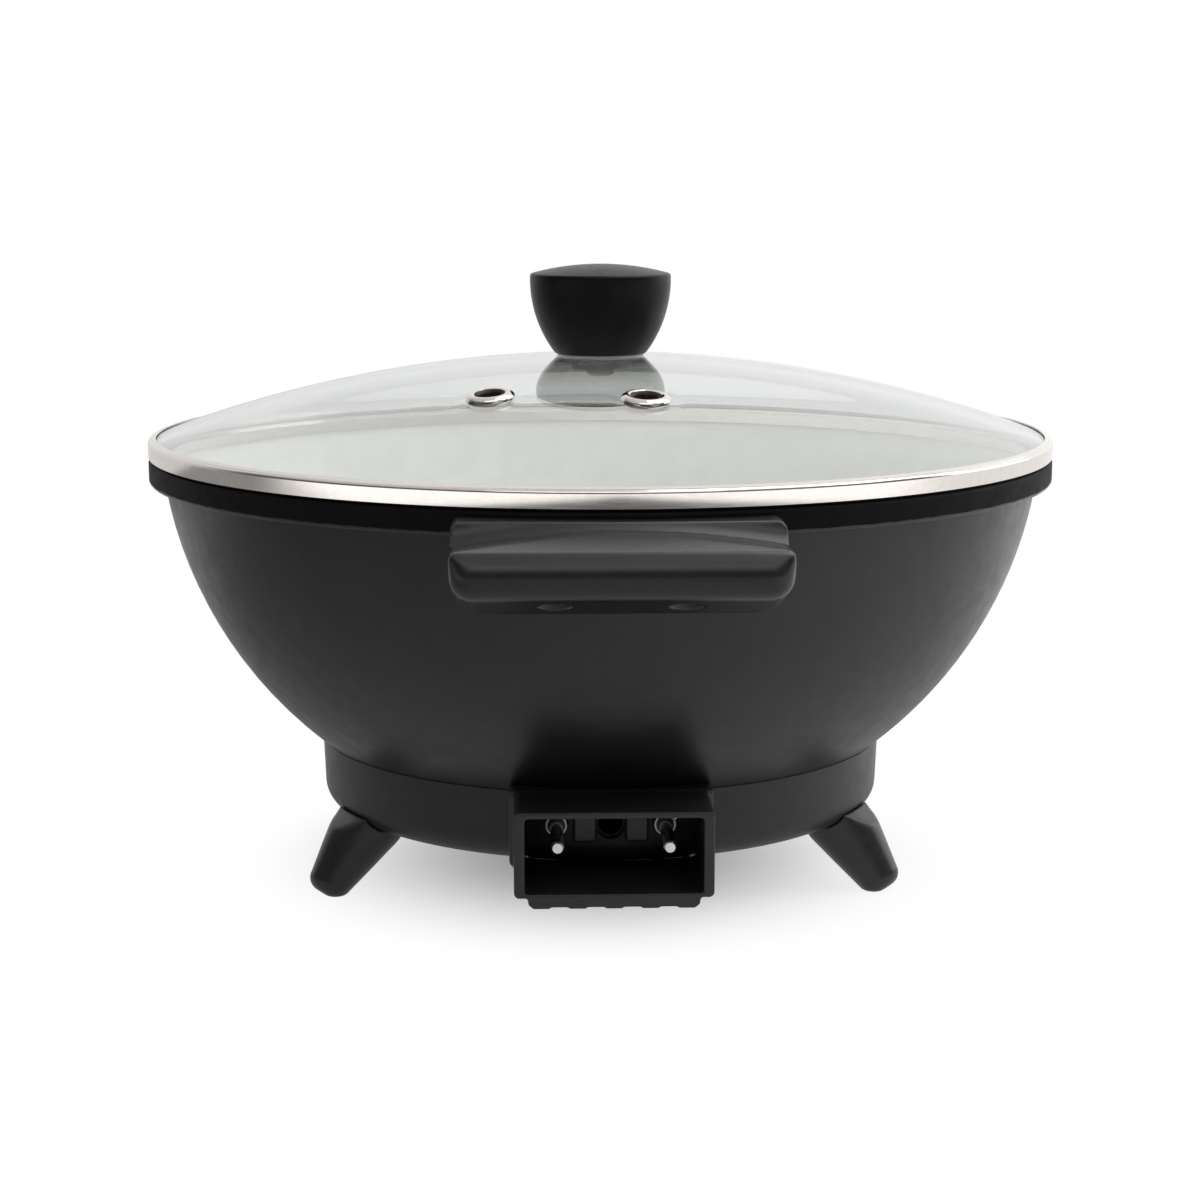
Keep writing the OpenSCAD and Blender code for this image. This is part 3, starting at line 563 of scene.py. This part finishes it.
# Painted shade: the probe block's aluminium made near black, where it sits in shade deep inside the inlet
def probe_block_painted_shade():
    finish = Finish("probe_block_painted_shade", color=(0.05, 0.048, 0.046), roughness=0.6, metallic=0.6)
    finish.tint(low=(0.03, 0.029, 0.028), high=(0.08, 0.076, 0.072), grain_mm=3, detail=4)
    finish.rough(low=0.52, high=0.7, grain_mm=1, detail=3)
    finish.bump(depth_mm=0.008, grain_mm=0.5, detail=3)
    return finish.material


def terminal_ceramic():
    finish = Finish("terminal_ceramic", color=(0.06, 0.055, 0.05), roughness=0.6)
    finish.tint(low=(0.045, 0.041, 0.038), high=(0.075, 0.069, 0.063), grain_mm=0.8, detail=3)
    finish.rough(low=0.52, high=0.68, grain_mm=0.5, detail=3)
    finish.bump(depth_mm=0.004, grain_mm=0.2, detail=3)
    return finish.material


def insert_brass():
    finish = Finish("insert_brass", color=(0.72, 0.52, 0.22), roughness=0.3, metallic=1.0)
    finish.tint(low=(0.66, 0.47, 0.19), high=(0.76, 0.56, 0.25), grain_mm=1, detail=3)
    finish.rough(low=0.24, high=0.38, grain_mm=0.4, detail=3)
    finish.bump(depth_mm=0.003, grain_mm=0.2, detail=2)
    return finish.material


def seal_silicone():
    finish = Finish("seal_silicone", color=(0.56, 0.56, 0.54), roughness=0.55)
    finish.tint(low=(0.53, 0.53, 0.51), high=(0.6, 0.6, 0.58), grain_mm=1.5, detail=3)
    finish.rough(low=0.5, high=0.62, grain_mm=0.8, detail=3)
    finish.bump(depth_mm=0.004, grain_mm=0.25, detail=3)
    return finish.material


def lid_tempered_glass():
    """Clear glass that lets the lamps through to what is under it."""
    clarity = {"IOR": 1.5, "Transmission Weight": 1.0}
    finish = Finish("lid_tempered_glass", color=(0.905, 0.929, 0.926), roughness=0.0, **clarity)
    finish.rough(low=0.0, high=0.012, grain_mm=30, detail=3)
    finish.bump(depth_mm=0.004, grain_mm=24, detail=1)
    clear = finish.add("ShaderNodeBsdfTransparent", Color=(0.965, 0.98, 0.977, 1))
    path = finish.add("ShaderNodeLightPath")
    mix = finish.add("ShaderNodeMixShader")
    finish.join(path.outputs["Is Shadow Ray"], mix, "Fac")
    finish.join(finish.shader.outputs["BSDF"], mix, 1)
    finish.join(clear.outputs["BSDF"], mix, 2)
    finish.join(mix.outputs["Shader"], finish.tree.nodes["Material Output"], "Surface")
    return finish.material


# Stage, light and camera

class Studio:
    """Nodes that tell the rays which show the stage from those which only light the object."""

    def __init__(self, tree):
        self.tree = tree
        rays = tree.nodes.new("ShaderNodeLightPath").outputs
        self.seen = self.calc("MAXIMUM", rays["Is Camera Ray"], rays["Is Transmission Ray"])
        self.glossy = rays["Is Glossy Ray"]

    def feed(self, value, socket):
        if isinstance(value, (int, float)):
            socket.default_value = value
        else:
            self.tree.links.new(value, socket)

    def calc(self, kind, first, second=0):
        node = self.tree.nodes.new("ShaderNodeMath")
        node.operation = kind
        self.feed(first, node.inputs[0])
        self.feed(second, node.inputs[1])
        return node.outputs["Value"]

    def step(self, value, start, end, before, after):
        """A smooth step from one level to another."""
        node = self.tree.nodes.new("ShaderNodeMapRange")
        node.interpolation_type = "SMOOTHSTEP"
        self.feed(value, node.inputs["Value"])
        self.feed(start, node.inputs["From Min"])
        self.feed(end, node.inputs["From Max"])
        self.feed(before, node.inputs["To Min"])
        self.feed(after, node.inputs["To Max"])
        return node.outputs["Result"]

    def choose(self, switch, off, on):
        node = self.tree.nodes.new("ShaderNodeMix")
        self.feed(switch, node.inputs["Factor"])
        self.feed(off, node.inputs["A"])
        self.feed(on, node.inputs["B"])
        return node.outputs["Result"]

    def axes(self, output):
        node = self.tree.nodes.new("ShaderNodeSeparateXYZ")
        self.feed(self.tree.nodes.new("ShaderNodeTexCoord").outputs[output], node.inputs[0])
        return node.outputs

    def distance(self, x, y):
        squares = self.calc("ADD", self.calc("POWER", x, 2), self.calc("POWER", y, 2))
        return self.calc("SQRT", squares)


def make_world():
    """White all round, but a dark room behind the camera for what only lights or mirrors in the object."""
    world = bpy.data.worlds.new("studio")
    bpy.context.scene.world = world
    world.use_nodes = True
    background = world.node_tree.nodes["Background"]
    background.inputs["Color"].default_value = (1, 1, 1, 1)
    studio = Studio(world.node_tree)
    x, y, z = studio.axes("Generated")
    bright = studio.calc("MAXIMUM", studio.step(y, *ROOM_BACK), studio.step(z, *ROOM_ABOVE))
    room = studio.calc("MULTIPLY", bright, studio.step(x, *ROOM_SIDEWAYS))
    fill = studio.calc("MAXIMUM", studio.calc("MULTIPLY", room, ROOM_AMBIENT), ROOM_LEAST)
    unseen = studio.choose(studio.glossy, fill, room)
    studio.feed(studio.choose(studio.seen, unseen, 1.0), background.inputs["Strength"])


def mirrored_light(studio, x, y, away):
    """Light of the floor as the object mirrors it, with the dark place under the camera."""
    rear = studio.calc("MULTIPLY", studio.step(y, *MIRROR_REAR), studio.step(away, *MIRROR_REAR_FADE))
    around = studio.calc("ADD", studio.step(x, *MIRROR_SIDE), rear)
    beyond = studio.calc("MAXIMUM", around, studio.step(y, *MIRROR_BACKDROP))
    beside = studio.calc("ABSOLUTE", studio.calc("SUBTRACT", x, DARK_SHIFT))
    slanted = studio.calc("ADD", beside, studio.calc("MULTIPLY", away, DARK_SLANT))
    panels = studio.step(slanted, *DARK_EDGE)
    ahead = studio.calc("MULTIPLY", studio.step(away, *MIRROR_AHEAD), studio.step(y, *MIRROR_AHEAD_FADE))
    return studio.choose(ahead, beyond, panels)


def floor_material():
    """Pale floor: shows its shadow under the object and runs out into white."""
    material = bpy.data.materials.new("pale_floor")
    material.use_nodes = True
    tree = material.node_tree
    shader = tree.nodes["Principled BSDF"]
    for name, value in FLOOR_FINISH.items():
        shader.inputs[name].default_value = value
    white = tree.nodes.new("ShaderNodeEmission")
    studio = Studio(tree)
    x, y, _ = studio.axes("Object")
    away = studio.distance(x, y)
    mirrored = mirrored_light(studio, x, y, away)
    studio.feed(studio.choose(studio.seen, mirrored, 1.0), white.inputs["Strength"])
    shown = studio.calc("MAXIMUM", studio.seen, studio.glossy)
    mix = tree.nodes.new("ShaderNodeMixShader")
    studio.feed(studio.calc("MULTIPLY", studio.step(away, *SHADOW_FADE), shown), mix.inputs["Fac"])
    studio.feed(shader.outputs["BSDF"], mix.inputs[1])
    studio.feed(white.outputs["Emission"], mix.inputs[2])
    studio.feed(mix.outputs["Shader"], tree.nodes["Material Output"].inputs["Surface"])
    return material


def make_floor():
    half = FLOOR_SIZE / 2
    corners = [(-half, -half, 0), (half, -half, 0), (half, half, 0), (-half, half, 0)]
    mesh = bpy.data.meshes.new("floor")
    mesh.from_pydata(corners, [], [(0, 1, 2, 3)])
    mesh.materials.append(floor_material())
    link("floor", mesh)


def softbox(name, place, target, size, watts):
    light = bpy.data.lights.new(name, "AREA")
    light.shape = "RECTANGLE"
    light.size, light.size_y = size
    light.energy = watts
    lamp = link(name, light)
    lamp.location = place
    lamp.rotation_euler = (Vector(target) - Vector(place)).to_track_quat("-Z", "Y").to_euler()


def make_camera():
    data = bpy.data.cameras.new("camera")
    data.sensor_width = SENSOR
    data.lens = FOCAL_PX / IMAGE_PX * SENSOR
    data.shift_x = PAN_PX / IMAGE_PX
    camera = link("camera", data)
    camera.location = (CAMERA_FAR * math.sin(CAMERA_TURN), -CAMERA_FAR * math.cos(CAMERA_TURN), CAMERA_UP)
    camera.rotation_euler = (math.pi / 2 - CAMERA_DIP, 0, CAMERA_TURN)
    bpy.context.scene.camera = camera


make_camera()
make_world()
make_floor()
softbox("top_light", place=(0.65, 0.05, 1.3), target=(0, 0, 0.1), size=(1.2, 1.1), watts=10.0)
softbox("right_light", place=(1.2, 0.35, 0.5), target=(0, 0, 0.16), size=(0.9, 0.7), watts=3.0)
softbox("front_light", place=(0.0, -1.0, 1.1), target=(0, 0, 0.08), size=(1.2, 0.5), watts=1.6)
bpy.context.scene.view_settings.view_transform = "Standard"

ENAMEL = charcoal_enamel()
RIM_PAINTED_SHADE = rim_enamel_painted_shade()
COAT = cooking_coat()
# One black phenolic at three levels: the handles' lowered as painted shade, the base's raised as painted
# light, the knob's lowered further as painted shade
HANDLE_MOULDING_PAINTED_SHADE = black_moulding("black_moulding", HANDLE_LEVEL_PAINTED_SHADE)
LIT_BASE_MOULDING = black_moulding("base_moulding_painted_light", BASE_LEVEL_PAINTED_LIGHT)
KNOB_PAINTED_SHADE = knob_phenolic_painted_shade()
STEEL = polished_steel()
BORE_SHADE = vent_bore_painted_shade()
PLATED = plated_steel()
CONTACT = contact_plating()
SHEATH = heater_sheath()
ALUMINIUM = bare_aluminium()
PROBE_SHADE = probe_block_painted_shade()
CERAMIC = terminal_ceramic()
BRASS = insert_brass()
SILICONE = seal_silicone()
GLASS = lid_tempered_glass()

# Pan: charcoal outside, rim band darkened with painted shade, light cooking surface inside

pan = wear(copied("pan", "pan_casting"), COOKER, "pan_coat", ENAMEL, COAT, RIM_PAINTED_SHADE)
rim_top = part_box("pan")[1].z
rim_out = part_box("pan")[1].x
for face in pan.data.polygons:
    radius = face.center.xy.length
    height = face.center.z
    faces_in = face.normal.xy.dot(face.center.xy) < 0 or face.normal.z > LEVEL_NORMAL
    if faces_in and radius < COAT_TOP_R and height > COAT_FLOOR:
        face.material_index = COAT_INDEX
    # The upright rim band takes the enamel with painted shade
    elif height > rim_top - RIM_SHADE_HEIGHT and radius < rim_out:
        face.material_index = RIM_SHADE_INDEX

# Black mouldings: inlet and feet at the level with painted light, handles at the level with painted shade,
# knob with its own painted shade

shroud = softened("socket_shroud", "inlet_shroud", SHROUD_ROUNDS)
wear(shroud, COOKER, "black_moulding", LIT_BASE_MOULDING)
knob = bevelled("lid_knob", "knob_moulding", KNOB_EDGE, KNOB_EDGE_STEPS)
wear(knob, LID, "black_moulding", KNOB_PAINTED_SHADE)
for end in ("front", "rear"):
    plate = softened(f"{end}_handle_mount", f"{end}_handle_plate", PLATE_ROUNDS)
    wear(plate, COOKER, "black_moulding", HANDLE_MOULDING_PAINTED_SHADE)
    bar = softened(f"{end}_handle_grip", f"{end}_handle_bar", BAR_ROUNDS)
    eased(bar, BAR_END_ROUNDS, near_handle_end)
    wear(bar, COOKER, "black_moulding", HANDLE_MOULDING_PAINTED_SHADE)
for place in ("front_left", "front_right", "rear"):
    foot = softened(f"foot_{place}", f"foot_{place}_moulding", FOOT_ROUNDS)
    eased(foot, SHOULDER_ROUNDS, near_foot_shoulder)
    wear(foot, COOKER, "black_moulding", LIT_BASE_MOULDING)

# Lid band, and steam vents whose bores are darkened with painted shade

wear(turned_finer("lid_band", "lid_band_ring"), LID, "polished_steel", STEEL)
for side in ("left", "right"):
    node = f"vent_eyelet_{side}"
    eyelet = wear(copied(node, f"steam_vent_{side}"), LID, "polished_steel", STEEL, BORE_SHADE)
    low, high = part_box(node)
    middle = (Vector(low) + Vector(high)) / 2
    # Painted shade: the inner faces of each bore get the dark steel
    for face in eyelet.data.polygons:
        outward = face.center - middle
        if outward.dot(face.normal) < 0 and outward.length < BORE_SHADE_REACH:
            face.material_index = BORE_SHADE_INDEX

# Screws with their heads down

for node in ("base_screws", "socket_screws", "front_handle_screws", "rear_handle_screws", "clamp_screw"):
    wear(crossed_screws(node, f"{node}_driven"), COOKER, "plated_steel", PLATED)
wear(crossed_screws("knob_screw", "knob_screw_driven"), LID, "plated_steel", PLATED)

# Pieces that keep their solids

KEPT = {
    ENAMEL: ["base_skirt"],
    GLASS: ["lid_glass"],
    PLATED: ["foot_screws", "knob_washer", "element_clamp", "bottom_cover"],
    SHEATH: ["heating_element"],
    ALUMINIUM: ["heat_plate"],
    # The probe block takes the aluminium with painted shade
    PROBE_SHADE: ["probe_block"],
    CONTACT: ["terminal_pin_left", "terminal_pin_right"],
    CERAMIC: ["terminal_beads"],
    BRASS: ["knob_insert"],
    SILICONE: ["knob_gasket", "knob_lower_gasket"],
}
for material, nodes in KEPT.items():
    for node in nodes:
        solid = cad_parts[node]
        solid.data.materials.clear()
        solid.data.materials.append(material)
